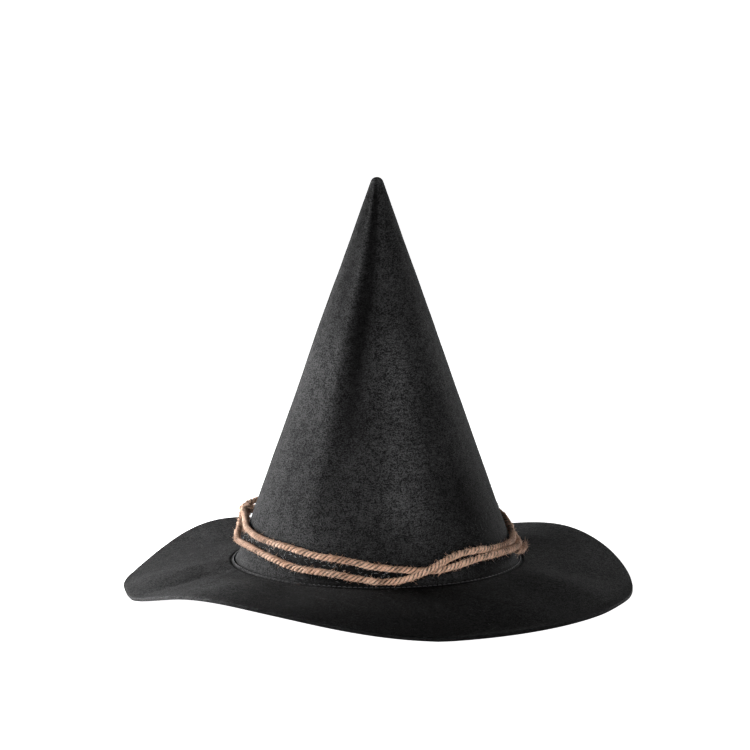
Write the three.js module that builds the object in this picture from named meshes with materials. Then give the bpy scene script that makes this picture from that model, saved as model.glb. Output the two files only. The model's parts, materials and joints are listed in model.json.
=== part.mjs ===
// Witch hat. A tall soft felt cone is sewn to a wide wavy felt brim. A doubled twine is tied round
// the foot of the cone, and inside is a ribbon sweatband with a hook-and-loop size tab and a label.
// Millimetres, +Z up, front towards -Y. The hat stands on the low lobes of its brim, flat on z = 0.
import * as THREE from 'three';

// Felt
const feltThickness = 2.5;
const crownFootRadius = 97.9; // outer radius that the straight cone would have at its foot
const crownHeight = 266.5; // from the foot to the tip
const tipRadius = 4.7;
const flareHeight = 6; // the cone's foot flares out over this height
const flareOut = 1.8;
const brimWidth = 75.5; // along the felt, from the seam land to the cut edge
const brimSeamLand = 2; // flat felt outside the crown's foot
const brimDroop = 20; // how far the brim's edge would hang below the crown's foot
const brimCurl = 1.4; // power of the brim's fall from the seam to the edge
const standHeight = 17; // the lobes meet the table this far below the brim's top at the seam
const padWidth = 5.5; // felt at the lobes' edges that lies flat on the table
const brimRises = [ // places where the edge lifts again: angle and half-width in degrees, lift in mm
  { at: 234, lift: 22, spread: 35 },
  { at: 130.5, lift: 22, spread: 25.5 },
  { at: 40, lift: 21.5, spread: 29.5 },
];

// Sweatband, size tab and label
const sewnGap = 0.35; // clearance between pieces that are sewn together
const ribbonThickness = 0.8;
const sweatbandBelow = 2; // how far it reaches below the crown's foot
const sweatbandAbove = 28; // and above it
const backAngle = 90;
const sweatbandOpening = 14; // degrees left open at the back
const loopArc = 38; // degrees
const hookArc = 18;
const patchThickness = 0.7;
const tabArc = 38.5;
const tabHeight = 16;
const tabThickness = 0.8;
const tabHem = 1.5; // hem between the tab's hinge and the sweatband's end, in degrees
const labelWidth = 20;
const labelLength = 22;
const labelThickness = 0.5;
const labelAngle = 140;

// Sewing thread, as one line along each seam
const threadThickness = 0.6;
const threadSides = 8;
const sweatbandStitchHeight = 1; // above the crown's foot
const backSeamTop = 240; // the back seam's thread shows inside the crown up to here

// Twine
const twineDiameter = 4.6;
const twineGap = 0.6; // between the twine and the crown
const twineSides = 10;
const knotAngle = 166;
const knotRow = 5.7; // its height above the crown's foot, in pitches
const knotOff = 2.4; // from the crown to the knot, which hangs on the twine
const knotHalf = { along: 1.74 * twineDiameter, out: 1.09 * twineDiameter, up: 1.39 * twineDiameter };

// Detail of the solids
const crownSides = 72;
const brimSides = 120;
const brimRings = 8;
const flareRings = 3;
const tipRings = 4;
const tubeStep = 2.4; // lengths of tube per diameter

const degree = Math.PI / 180;
const fullTurn = 2 * Math.PI;
const footZ = standHeight + feltThickness;
const tipCentre = crownHeight - tipRadius;
const lean = Math.atan2(crownFootRadius, tipCentre)
  - Math.asin(tipRadius / Math.hypot(crownFootRadius, tipCentre));
const slope = Math.tan(lean);
const wallAcross = feltThickness / Math.cos(lean); // the felt's wall, measured level

// Outer radius of the crown at a height above its foot, below the rounded tip.
function crownRadius(height) {
  const flare = height < flareHeight ? flareOut * (1 - height / flareHeight) ** 2 : 0;
  return crownFootRadius - slope * height + flare;
}

// Radius of the crown's straight inner wall, which the ribbon pieces lie against.
function innerRadius(height) {
  return crownFootRadius - wallAcross - slope * height;
}

// Height of the brim's edge above the brim's seam, before it meets the table.
function edgeRise(angle) {
  let rise = -brimDroop;
  for (const { at, lift, spread } of brimRises) {
    const apart = THREE.MathUtils.euclideanModulo(angle - at + 180, 360) - 180;
    rise += lift * Math.exp(-((apart / spread) ** 2));
  }
  return rise;
}

function felt(colour) {
  return new THREE.MeshStandardMaterial({ color: colour, roughness: 0.95, metalness: 0 });
}

const hat = new THREE.Group();
const blackFelt = 0x2b2b2d;
const blackRibbon = 0x161617;
const blackThread = 0x101011;
const twineColour = 0xb98f66;

function addPiece(name, geometry, colour, group = hat) {
  const mesh = new THREE.Mesh(geometry, felt(colour));
  mesh.name = name;
  group.add(mesh);
  return mesh;
}

// A closed outline of (radius, height) points turned round the hat's axis.
function turned(outline, sides) {
  const points = [...outline, outline[0]].map(([r, z]) => new THREE.Vector2(r, z));
  const geometry = new THREE.LatheGeometry(points, sides);
  geometry.rotateX(Math.PI / 2);
  return geometry;
}

function moveVertices(geometry, move) {
  const position = geometry.attributes.position;
  const point = new THREE.Vector3();
  for (let i = 0; i < position.count; i += 1) {
    point.fromBufferAttribute(position, i);
    move(point);
    position.setXYZ(i, point.x, point.y, point.z);
  }
  return geometry;
}

function crownGeometry() {
  const outline = [];
  const foot = sewnGap;
  for (let i = 0; i < flareRings; i += 1) {
    const height = foot + (flareHeight - foot) * i / flareRings;
    outline.push([crownRadius(height), height]);
  }
  outline.push([crownRadius(flareHeight), flareHeight]);
  for (let i = 0; i < tipRings; i += 1) {
    const up = lean + (Math.PI / 2 - lean) * i / tipRings;
    outline.push([tipRadius * Math.cos(up), tipCentre + tipRadius * Math.sin(up)]);
  }
  outline.push([0, crownHeight]);
  const innerTip = tipRadius - feltThickness;
  outline.push([0, tipCentre + innerTip]);
  outline.push([innerTip * Math.cos(lean), tipCentre + innerTip * Math.sin(lean)]);
  outline.push([innerRadius(flareHeight), flareHeight]);
  for (let i = flareRings - 1; i >= 0; i -= 1) {
    const height = foot + (flareHeight - foot) * i / flareRings;
    outline.push([crownRadius(height) - wallAcross, height]);
  }
  const geometry = turned(outline, crownSides);
  geometry.translate(0, 0, footZ);
  return geometry;
}

const brimInner = crownFootRadius + flareOut - wallAcross - sewnGap * 2;
const brimLand = crownFootRadius + flareOut + brimSeamLand;

// The brim starts as a flat ring and its felt is then let down, lobe by lobe, to the table.
function brimGeometry() {
  const radii = [brimInner, brimLand];
  const sloping = brimWidth - padWidth;
  for (let i = 1; i <= brimRings; i += 1) radii.push(brimLand + sloping * i / brimRings);
  radii.push(brimLand + brimWidth);
  const outline = radii.map((r) => [r, -feltThickness]);
  outline.push(...radii.reverse().map((r) => [r, 0]));
  const geometry = turned(outline, brimSides);
  moveVertices(geometry, (point) => {
    const radius = Math.hypot(point.x, point.y);
    const share = (radius - brimLand) / brimWidth;
    if (share <= 0) return;
    const rise = edgeRise(Math.atan2(point.y, point.x) / degree);
    const level = Math.max(rise, -standHeight);
    const reach = Math.sqrt(brimWidth ** 2 - level ** 2);
    const grown = (brimLand + share * reach) / radius;
    point.x *= grown;
    point.y *= grown;
    point.z += Math.max(rise * share ** brimCurl, -standHeight);
  });
  geometry.translate(0, 0, footZ);
  return geometry;
}

// A strip of ribbon against the crown's inner wall: inset from the wall, between two angles, and
// leaning in with the cone. A root gives the strip's first end a foot that reaches the layer below.
function ribbonGeometry({ inset, thickness, from, to, low, high, root = null }) {
  const outer = innerRadius(low) - inset;
  const inner = outer - thickness;
  const shape = new THREE.Shape();
  shape.absarc(0, 0, inner, from * degree, to * degree, false);
  if (root) {
    const { reach, width } = root;
    const back = to - width / outer / degree;
    shape.lineTo((outer + reach) * Math.cos(to * degree), (outer + reach) * Math.sin(to * degree));
    shape.lineTo((outer + reach) * Math.cos(back * degree), (outer + reach) * Math.sin(back * degree));
    shape.absarc(0, 0, outer, back * degree, from * degree, true);
  } else {
    shape.absarc(0, 0, outer, to * degree, from * degree, true);
  }
  const segments = Math.max(6, Math.round((to - from) / 5));
  const geometry = new THREE.ExtrudeGeometry(shape, {
    depth: high - low, bevelEnabled: false, curveSegments: segments,
  });
  moveVertices(geometry, (point) => {
    const radius = Math.hypot(point.x, point.y);
    const leant = (radius - slope * point.z) / radius;
    point.x *= leant;
    point.y *= leant;
  });
  geometry.translate(0, 0, footZ + low);
  return geometry;
}

// A twine follows points of [angle, height above the foot, extra distance from the wall], the last
// two in pitches, so that turns that lie side by side stay clear of each other.
const twinePitch = twineDiameter + twineGap;
function twineCurve(route) {
  const points = route.map(([angle, rows, off]) => {
    const height = rows * twinePitch;
    const clear = twineGap + twineDiameter / 2 + off * twinePitch;
    const r = crownRadius(height) + clear * Math.cos(lean);
    const z = footZ + height + clear * Math.sin(lean);
    return new THREE.Vector3(r * Math.cos(angle * degree), r * Math.sin(angle * degree), z);
  });
  return new THREE.CatmullRomCurve3(points);
}

function twineGeometry(route) {
  const path = twineCurve(route);
  const section = new THREE.Shape();
  section.absarc(0, 0, twineDiameter / 2, 0, fullTurn, false);
  return new THREE.ExtrudeGeometry(section, {
    steps: Math.max(4, Math.round(path.getLength() / (tubeStep * twineDiameter))),
    curveSegments: twineSides, bevelEnabled: false, extrudePath: path,
  });
}

// Both turns leave the knot at the left, cross in front, lie side by side at the right, climb to
// the back of the crown and come round to the knot again.
const knotHeight = knotRow * twinePitch;
const knotReach = knotHalf.along / crownRadius(knotHeight) / degree;
const upperTurn = [
  [knotAngle + knotReach + 1, 5.4, 0.75], [176, 5.25, 0.35], [181, 5.1, 0.1], [190, 4.85, 0],
  [200, 4.6, 0], [214, 4.32, 0], [230, 4.08, 0], [245, 3.5, 0], [258, 3.14, 0], [270, 2.45, 0],
  [282, 2.05, 0], [292, 1.75, 0], [299, 1.85, 0.05], [306, 2.15, 0.1], [314, 2.45, 0.3],
  [325, 2.45, 0.6], [339, 2.3, 0.75], [347, 2.2, 0.7], [353, 2.15, 0.5], [359, 2.3, 0.3],
  [365, 2.7, 0.1], [371, 3.2, 0], [378, 3.75, 0], [386, 4.15, 0], [398, 4.4, 0], [412, 4.6, 0],
  [426, 4.75, 0], [440, 4.9, 0], [454, 5, 0], [468, 5.05, 0], [482, 5.1, 0], [496, 5.15, 0],
  [509, 5.2, 0.1], [360 + knotAngle - knotReach - 1, 5.35, 0.45],
];
const lowerTurn = [
  [knotAngle + knotReach - 0.8, 4.35, 0.85], [175, 3.65, 0.6], [181, 3.1, 0.5], [187, 2.75, 0.4],
  [195, 2.8, 0.15], [204, 2.9, 0], [212, 2.75, 0], [222, 2.4, 0], [236, 1.75, 0], [251, 1.5, 0],
  [262, 1.05, 0.05], [270, 0.68, 0.1], [278, 0.75, 0.2], [284, 1.1, 0.75], [289, 1.7, 1.15],
  [294, 2.3, 0.95], [299, 2.9, 0.6], [305, 3.35, 0.1], [314, 3.5, 0], [325, 3.25, 0],
  [339, 3, 0], [350, 2.95, 0], [358, 3.3, 0], [364, 3.8, 0], [370, 4.4, 0], [378, 5, 0],
  [388, 5.35, 0], [400, 5.55, 0], [412, 5.7, 0], [426, 5.85, 0], [440, 6, 0], [454, 6.1, 0],
  [468, 6.15, 0], [482, 6.2, 0], [496, 6.25, 0], [509, 6.35, 0.1],
  [360 + knotAngle - knotReach - 1, 6.45, 0.45],
];
const rightTail = [
  [346, 1.1, 0.75], [351, 1.15, 0.85], [355, 1.25, 1], [358, 1.35, 1.2],
];
const leftTail = [
  [knotAngle - knotReach / 2, 4.05, 0.5], [161, 3.5, 0.45], [159.4, 2.85, 0.45], [158.6, 2.25, 0.6],
];

function knotGeometry() {
  const geometry = new THREE.SphereGeometry(1, 16, 10);
  geometry.rotateX(Math.PI / 2);
  geometry.scale(knotHalf.out, knotHalf.along, knotHalf.up);
  geometry.translate(crownRadius(knotHeight) + knotHalf.out + knotOff, 0, footZ + knotHeight);
  geometry.rotateZ(knotAngle * degree);
  return geometry;
}

addPiece('crown', crownGeometry(), blackFelt);
addPiece('brim', brimGeometry(), blackFelt);

const tabLow = sweatbandAbove / 2 - tabHeight / 2;
const tabHigh = tabLow + tabHeight;
const openFrom = backAngle - sweatbandOpening / 2;
const openTo = backAngle + sweatbandOpening / 2;
const loopInset = sewnGap + ribbonThickness + sewnGap;
const hookInset = loopInset + patchThickness + sewnGap;
const tabInset = hookInset + patchThickness + sewnGap;
const tabRootAngle = openTo + tabHem;
const tabEndAngle = tabRootAngle - tabArc;

addPiece('sweatband', ribbonGeometry({
  inset: sewnGap, thickness: ribbonThickness, from: openTo, to: openFrom + 360,
  low: -sweatbandBelow, high: sweatbandAbove,
}), blackRibbon);
addPiece('loop_patch', ribbonGeometry({
  inset: loopInset, thickness: patchThickness, from: openFrom - loopArc - 1, to: openFrom - 1,
  low: tabLow, high: tabHigh,
}), blackRibbon);

const tab = new THREE.Group();
hat.add(tab);
addPiece('size_tab', ribbonGeometry({
  inset: tabInset, thickness: tabThickness, from: tabEndAngle, to: tabRootAngle,
  low: tabLow, high: tabHigh, root: { reach: tabInset - loopInset, width: tabThickness },
}), blackRibbon, tab);
addPiece('hook_patch', ribbonGeometry({
  inset: hookInset, thickness: patchThickness, from: tabEndAngle + 1, to: tabEndAngle + 1 + hookArc,
  low: tabLow + 1, high: tabHigh - 1,
}), blackRibbon, tab);

// The brim's seam runs in the corner between the crown's foot and the brim.
const threadCentre = sewnGap + threadThickness / 2;
const seamRadius = crownRadius(sewnGap) + threadCentre;
const threadOutline = [];
for (let i = 0; i < threadSides; i += 1) {
  const around = fullTurn * (i + 0.5) / threadSides;
  const across = seamRadius + threadThickness / 2 * Math.cos(around);
  threadOutline.push([across, threadCentre + threadThickness / 2 * Math.sin(around)]);
}
const brimSeam = turned(threadOutline, crownSides);
brimSeam.translate(0, 0, footZ);
addPiece('brim_seam_thread', brimSeam, blackThread);
addPiece('sweatband_thread', ribbonGeometry({
  inset: loopInset, thickness: threadThickness, from: openTo + 1, to: openFrom + 359,
  low: sweatbandStitchHeight, high: sweatbandStitchHeight + threadThickness,
}), blackThread);

// The back seam's thread runs up the inside of the crown, between the sweatband's two ends.
function insideSeam(height) {
  const r = innerRadius(height) - threadCentre / Math.cos(lean);
  return new THREE.Vector3(r * Math.cos(backAngle * degree), r * Math.sin(backAngle * degree),
    footZ + height);
}
const threadSection = new THREE.Shape();
threadSection.absarc(0, 0, threadThickness / 2, 0, fullTurn, false);
addPiece('back_seam_thread', new THREE.ExtrudeGeometry(threadSection, {
  steps: 1, curveSegments: threadSides, bevelEnabled: false,
  extrudePath: new THREE.LineCurve3(insideSeam(flareHeight), insideSeam(backSeamTop)),
}), blackThread);

// The label is sewn by its top edge just inside the sweatband's top, and hangs plumb.
const labelTop = sweatbandAbove - 2;
const bandFace = innerRadius(labelTop) - loopInset;
const labelRadius = Math.sqrt(bandFace ** 2 - (labelWidth / 2) ** 2) - labelThickness;
const label = new THREE.BoxGeometry(labelThickness, labelWidth, labelLength);
label.translate(labelRadius - labelThickness / 2, 0, footZ + labelTop - labelLength / 2);
label.rotateZ(labelAngle * degree);
addPiece('care_label', label, 0xe8e6e0);

const band = new THREE.Group();
hat.add(band);
addPiece('twine_upper_turn', twineGeometry(upperTurn), twineColour, band);
addPiece('twine_lower_turn', twineGeometry(lowerTurn), twineColour, band);
addPiece('twine_knot', knotGeometry(), twineColour, band);
addPiece('twine_right_tail', twineGeometry(rightTail), twineColour, band);
addPiece('twine_left_tail', twineGeometry(leftTail), twineColour, band);

export default hat;
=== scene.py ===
"""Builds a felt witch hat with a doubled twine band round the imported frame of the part.

Lengths are in metres, +Z is up and the hat's front faces -Y. Heights are measured from the crown's
foot, where the crown is sewn to the brim, unless a name says otherwise.
"""
import json
import math
import random
from functools import cache

import bmesh
import bpy
from bpy.props import FloatProperty, FloatVectorProperty, IntProperty, PointerProperty
from mathutils import Matrix, Vector, noise
from mathutils.kdtree import KDTree

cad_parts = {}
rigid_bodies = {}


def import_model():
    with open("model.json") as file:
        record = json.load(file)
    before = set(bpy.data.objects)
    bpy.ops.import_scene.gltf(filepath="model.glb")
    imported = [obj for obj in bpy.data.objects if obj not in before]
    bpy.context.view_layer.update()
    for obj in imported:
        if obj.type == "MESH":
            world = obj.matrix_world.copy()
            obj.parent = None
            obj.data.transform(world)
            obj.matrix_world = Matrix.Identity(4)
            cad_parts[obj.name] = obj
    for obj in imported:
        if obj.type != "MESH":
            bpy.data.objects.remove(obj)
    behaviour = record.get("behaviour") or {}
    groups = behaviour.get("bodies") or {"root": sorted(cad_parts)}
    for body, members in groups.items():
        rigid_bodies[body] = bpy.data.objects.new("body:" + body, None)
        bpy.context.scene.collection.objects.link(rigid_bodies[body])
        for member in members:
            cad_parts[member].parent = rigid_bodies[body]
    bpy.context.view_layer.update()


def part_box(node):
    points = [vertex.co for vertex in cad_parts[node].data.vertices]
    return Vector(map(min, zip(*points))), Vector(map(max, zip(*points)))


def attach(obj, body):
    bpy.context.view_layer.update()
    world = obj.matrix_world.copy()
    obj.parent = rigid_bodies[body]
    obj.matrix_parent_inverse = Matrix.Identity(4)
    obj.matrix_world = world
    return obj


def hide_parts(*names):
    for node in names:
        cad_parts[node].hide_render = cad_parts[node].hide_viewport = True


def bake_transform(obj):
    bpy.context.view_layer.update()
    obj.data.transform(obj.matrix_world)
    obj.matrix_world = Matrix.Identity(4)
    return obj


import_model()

bl_info = {
    "name": "Witch Hat",
    "version": (1, 0, 0),
    "blender": (4, 5, 0),
    "location": "View3D > Sidebar > Witch Hat",
    "description": "Builds a felt witch hat with a twine band and its sewn-in ribbon",
    "category": "Object",
}

MM = 0.001
DEGREE = math.pi / 180
FOOT_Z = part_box("sweatband")[0][2] + 2 * MM  # the sweatband reaches 2 mm below the crown's foot
TIP_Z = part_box("crown")[1][2]
WAVE = math.tau / 20  # a wave texture's scale is this over the distance between its ridges
CROWN_ROWS, CROWN_STEPS = 128, 288
BRIM_ROWS, BRIM_STEPS = 52, 360
CAP_SHARE = 0.955  # share of the crown's rows that lie below its rounded tip


# ---------------------------------------------------------------- sizes and colours


def length_property(name, default, description):
    return FloatProperty(
        name=name, default=default, description=description, unit="LENGTH", precision=5, min=0
    )


def colour_property(name, default, description):
    return FloatVectorProperty(
        name=name, default=default, description=description, subtype="COLOR", size=3, min=0, max=1
    )


class HatSizes(bpy.types.PropertyGroup):
    """Sizes of the hat's felt, ribbon, twine and thread."""

    felt_thickness: length_property("Felt thickness", 2.5 * MM, "Thickness of the felt")
    crown_foot_radius: length_property(
        "Crown foot radius", 97.9 * MM, "Outer radius of the straight cone at its foot"
    )
    crown_height: length_property("Crown height", TIP_Z - FOOT_Z, "From its foot to its tip")
    tip_radius: length_property("Tip radius", 4.7 * MM, "Radius of the crown's rounded tip")
    flare_height: length_property("Flare height", 6 * MM, "Height over which the foot flares")
    flare_out: length_property("Flare", 1.8 * MM, "How far the crown's foot flares out")
    brim_width: length_property("Brim width", 75.5 * MM, "From the seam land to the cut edge")
    seam_land: length_property("Seam land", 2 * MM, "Flat felt outside the crown's foot")
    brim_droop: length_property("Brim droop", 20 * MM, "Fall of the brim's free edge")
    stand_height: length_property("Stand height", 17 * MM, "Fall at which the brim meets the table")
    ribbon_thickness: length_property("Ribbon thickness", 0.8 * MM, "Thickness of the ribbon")
    sewn_gap: length_property("Sewn gap", 0.35 * MM, "Clearance between layers sewn together")
    twine_diameter: length_property("Twine diameter", 4.6 * MM, "Across all three plies")
    twine_lay: length_property("Twine lay", 9.6 * MM, "Length of one turn of a ply")
    twine_gap: length_property("Twine gap", 0.6 * MM, "Between the twine and the crown")
    thread_thickness: length_property("Thread thickness", 0.6 * MM, "Thickness of the thread")
    stitch_length: length_property("Stitch length", 3.6 * MM, "From one stitch to the next")
    twine_fibres: IntProperty(
        name="Twine fibres", default=7100, min=0, description="Loose fibres along the twine"
    )
    felt_fibres: IntProperty(
        name="Felt fibres", default=5600, min=0, description="Loose fibres on the felt"
    )


class HatColours(bpy.types.PropertyGroup):
    """Colours of the hat's materials and of the stage."""

    felt_dark: colour_property("Felt, dark", (0.0028, 0.0028, 0.003), "Deep between the fibres")
    felt_light: colour_property("Felt, light", (0.039, 0.039, 0.0396), "Fibres on the surface")
    felt_worn: colour_property("Felt, worn", (0.08, 0.08, 0.082), "Raw edges and rubbed places")
    lint: colour_property("Lint", (0.66, 0.68, 0.7), "Loose wool rubbed up by the twine")
    twine_dark: colour_property("Twine, dark", (0.2, 0.085, 0.04), "Between the fibres")
    twine_middle: colour_property("Twine, middle", (0.6, 0.35, 0.235), "Most of the twine")
    twine_light: colour_property("Twine, light", (0.95, 0.7, 0.55), "Dry bleached fibres")
    ribbon: colour_property("Ribbon", (0.012, 0.012, 0.014), "Grosgrain sweatband and tab")
    tape: colour_property("Hook-and-loop tape", (0.016, 0.016, 0.018), "Hook and loop patches")
    label: colour_property("Label", (0.8, 0.79, 0.76), "Blank woven label")
    thread: colour_property("Thread", (0.013, 0.013, 0.015), "Sewing thread")
    floor: colour_property("Floor", (0.86, 0.86, 0.86), "Plain pale floor")


def sizes():
    return bpy.context.scene.hat_sizes


def colours():
    return bpy.context.scene.hat_colours


# ---------------------------------------------------------------- the hat's form


def apart(angle, other):
    """Difference of two angles in degrees, from -180 to 180."""
    return (angle - other + 180) % 360 - 180


def hump(angle, at, spread):
    """1 at an angle, falling to 0 within about twice the spread, all in degrees."""
    return math.exp(-((apart(angle, at) / spread) ** 2))


def angle_of(point):
    return math.atan2(point.y, point.x) / DEGREE


def peak(value, at, spread):
    """1 where the value is there, falling to 0 within about twice the spread."""
    return math.exp(-(((value - at) / spread) ** 2))


def ease(value, start, end):
    """0 before start and 1 after end, smooth between them."""
    t = min(max((value - start) / (end - start), 0), 1)
    return t * t * (3 - 2 * t)


def polar(radius, angle, height):
    """A point at an angle in degrees, at a height above the crown's foot."""
    a = angle * DEGREE
    return Vector((radius * math.cos(a), radius * math.sin(a), FOOT_Z + height))


def lean():
    s = sizes()
    centre = s.crown_height - s.tip_radius
    return math.atan2(s.crown_foot_radius, centre) - math.asin(
        s.tip_radius / math.hypot(s.crown_foot_radius, centre)
    )


def crown_radius(height):
    s = sizes()
    flare = s.flare_out * max(0, 1 - height / s.flare_height) ** 2
    return s.crown_foot_radius - math.tan(lean()) * height + flare


def inner_radius(height):
    s = sizes()
    wall = s.felt_thickness / math.cos(lean())
    return s.crown_foot_radius - wall - math.tan(lean()) * height


def ridge_angle(share):
    """Where the long ridge that comes down from the tip stands, at a share of the height."""
    return 249 - 11 * ease(1 - share, 0.02, 0.5)


def crown_relief(angle, height):
    """How far the soft crown stands out from its cone, with the folds it has kept from packing."""
    share = height / sizes().crown_height
    size = min(1, 0.25 + 1.9 * (1 - share))
    high = ease(height, 0.02, 0.07)
    # A long crease comes down from the tip: a rounded ridge with a valley on its right.
    ridge = ridge_angle(share)
    valley = ridge + 13 + 3 * ease(share, 0.2, 0.6)
    crease = 1.0 * hump(angle, ridge - 1, 7) - 1.6 * hump(angle, valley, 8.5)
    relief = crease * high * size
    # A broad soft bulge low on the front, with a hollow on its right.
    low = ease(0.72 - share, 0.0, 0.3)
    drift = 10 * ease(0.62 - share, 0, 0.5)
    relief += low * (0.85 * hump(angle, 281 + 0.4 * drift, 11) * high)
    relief -= low * 1.25 * hump(angle, 299 + drift, 9)
    relief += 0.5 * hump(angle, 326, 12) * high * low
    # Two short folds that run down to the twine.
    relief -= 0.55 * hump(angle, 273.5, 1.6) * ease(0.36 - share, 0, 0.1) * ease(share, 0.14, 0.22)
    relief -= 0.85 * hump(angle, 277.5 - 40 * share, 2.4) * ease(0.2 - share, 0, 0.1)
    # Slack in the rest of the cone.
    place = polar(1, angle, 0) * 1.6
    slack = noise.noise(Vector((place.x, place.y, height * 14)))
    relief += 0.8 * slack * size * high
    fine = noise.noise(Vector((place.x * 4, place.y * 4, height * 60)))
    relief += 0.18 * fine * high
    # On the left of the front the foot stands straight, with no flare.
    relief -= 1.6 * hump(angle, 222, 38) * max(0, 1 - height / sizes().flare_height) ** 2
    # The back seam draws the felt in, with small puckers beside it.
    beside = apart(angle, 90) * DEGREE * crown_radius(height) / MM
    relief -= 0.75 * peak(beside, 0, 0.9) * ease(0.985 - share, 0, 0.03)
    puckers = math.sin(height / MM * 1.05) * peak(beside, 0, 4.5)
    relief += 0.16 * puckers * high
    return relief * MM


def crown_point(angle, share):
    """A point on the crown's outer face: share 0 is its foot and 1 its tip."""
    s = sizes()
    centre = s.crown_height - s.tip_radius
    if share <= CAP_SHARE:
        top = centre + s.tip_radius * math.sin(lean())
        height = s.sewn_gap + (top - s.sewn_gap) * share / CAP_SHARE
        radius = crown_radius(height)
    else:
        up = lean() + (math.pi / 2 - lean()) * (share - CAP_SHARE) / (1 - CAP_SHARE)
        height = centre + s.tip_radius * math.sin(up)
        radius = s.tip_radius * math.cos(up)
    relief = crown_relief(angle, height) * min(1, radius / (9 * MM))
    return polar(radius + relief * math.cos(lean()), angle, height + relief * math.sin(lean()))


# Places where the brim's edge lifts: angle in degrees, lift in millimetres, half-width in degrees.
BRIM_RISES = ((234, 22, 35), (130.5, 22, 25.5), (40, 21.5, 29.5), (205, -2.6, 16))
# Soft radial folds of the brim: angle and half-width in degrees, height in millimetres.
BRIM_FOLDS = (
    (187, 6.5, 2.1), (201, 6, -1.9), (199.5, 2.4, -0.8), (224, 8, 1.5), (243, 7, -0.9),
    (268, 9, 0.6), (291, 7, -0.7), (322, 7, -1.0), (338, 6.5, 1.5), (354, 7, -1.2), (18, 9, 0.8),
    (47, 8, -0.9), (66, 7, 0.9), (96, 9, -0.7), (118, 8, 0.8), (150, 8, -1.1), (168, 7, 0.9),
)
BEAD_OUT = -1.5  # where the seam's raised bead lies, in millimetres outside the seam land
GROOVE_OUT = 0.1  # where the stitches' groove lies


def brim_radii():
    """Inner edge, seam land and cut edge of the flat brim."""
    s = sizes()
    foot = s.crown_foot_radius + s.flare_out
    inner = foot - s.felt_thickness / math.cos(lean()) - 2 * s.sewn_gap
    return inner, foot + s.seam_land, foot + s.seam_land + s.brim_width


def brim_point(angle, across):
    """A point on the brim's top: across 0 is its inner edge and 1 its cut edge."""
    s = sizes()
    inner, land, edge = brim_radii()
    radius = inner + (edge - inner) * across
    share = max(0, (radius - land) / s.brim_width)
    wider = (1.4 * hump(angle, 182, 20) + 3.2 * hump(angle, 355, 26)) * MM
    rise = -s.brim_droop + sum(lift * MM * hump(angle, at, wide) for at, lift, wide in BRIM_RISES)
    level = max(rise, -s.stand_height)
    if share > 0:
        radius = land + share * (math.sqrt(s.brim_width**2 - level**2) + wider)
    height = max(rise * share**1.4, -s.stand_height)
    folds = sum(tall * hump(angle, at, wide) for at, wide, tall in BRIM_FOLDS)
    place = polar(1, angle, 0) * 3
    folds += 0.7 * noise.noise(Vector((place.x, place.y, share * 2.5)))
    height += folds * MM * math.sin(math.pi * min(1, share * 0.93)) ** 0.8
    # The seam has drawn up a low bead of felt round the crown's foot, most on the left.
    outside = (radius - land) / MM
    bead = 0.3 + 0.95 * hump(angle, 222, 34)
    height += bead * MM * peak(outside, BEAD_OUT, 0.6)
    height -= 0.45 * MM * peak(outside, GROOVE_OUT, 0.7)
    return polar(radius, angle, max(height, -s.stand_height))


def brim_rows(share):
    """Spreads the brim's rows from its inner edge to its cut edge, closest beside the seam."""
    inner, land, edge = brim_radii()
    stops = ((0, inner), (0.12, land - 3 * MM), (0.4, land + 3 * MM), (1, edge))
    for (start, near), (end, far) in zip(stops, stops[1:]):
        if share <= end:
            break
    radius = near + (far - near) * (share - start) / (end - start)
    return (radius - inner) / (edge - inner)


# ---------------------------------------------------------------- making pieces


def add_piece(name, mesh, body, slot, node=None, finish=None):
    """Adds a mesh as a piece that rides a body, in its slot's finish unless another is given."""
    piece = bpy.data.objects.new(name, mesh)
    bpy.context.scene.collection.objects.link(piece)
    mesh.materials.clear()
    mesh.materials.append(finish or FINISHES[slot]())
    mesh.shade_smooth()
    if body:
        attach(piece, body)
    if node:
        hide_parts(node)
    return piece


def mesh_from(builder, name):
    mesh = bpy.data.meshes.new(name)
    builder.to_mesh(mesh)
    builder.free()
    return mesh


def made_mesh(name, data, modifiers=()):
    """A curve, or a mesh with modifiers, each a type and its settings, as a plain mesh."""
    carrier = bpy.data.objects.new(name, data)
    bpy.context.scene.collection.objects.link(carrier)
    for kind, settings in modifiers:
        modifier = carrier.modifiers.new(kind, kind)
        for key, value in settings.items():
            setattr(modifier, key, value)
    graph = bpy.context.evaluated_depsgraph_get()
    mesh = bpy.data.meshes.new_from_object(carrier.evaluated_get(graph))
    bpy.data.batch_remove([carrier, data])
    mesh.name = name
    return mesh


def thickened(name, sheet, thickness, edge, even=False):
    """A sheet with a wall of this thickness behind its face, and its cut edges rounded."""
    return made_mesh(name, mesh_from(sheet, name), (
        ("SOLIDIFY", {"thickness": thickness, "offset": -1, "use_even_offset": even}),
        ("BEVEL", {"width": edge, "segments": 2, "limit_method": "ANGLE", "angle_limit": 1.0}),
    ))


def turned_sheet(rows, steps, form):
    """An upright line of rows, turned round the axis and shaped by form(angle, share)."""
    sheet = bmesh.new()
    ends = [sheet.verts.new((1, 0, 0)), sheet.verts.new((1, 0, 1))]
    line = sheet.edges.new(ends)
    bmesh.ops.subdivide_edges(sheet, edges=[line], cuts=rows - 1)
    bmesh.ops.spin(
        sheet, geom=sheet.verts[:] + sheet.edges[:], cent=(0, 0, 0), axis=(0, 0, 1),
        angle=math.tau, steps=steps, use_merge=True,
    )
    for vert in sheet.verts:
        vert.co = form(angle_of(vert.co), vert.co.z)
    bmesh.ops.remove_doubles(sheet, verts=sheet.verts, dist=1e-5)
    bmesh.ops.recalc_face_normals(sheet, faces=sheet.faces)
    return sheet


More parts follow.
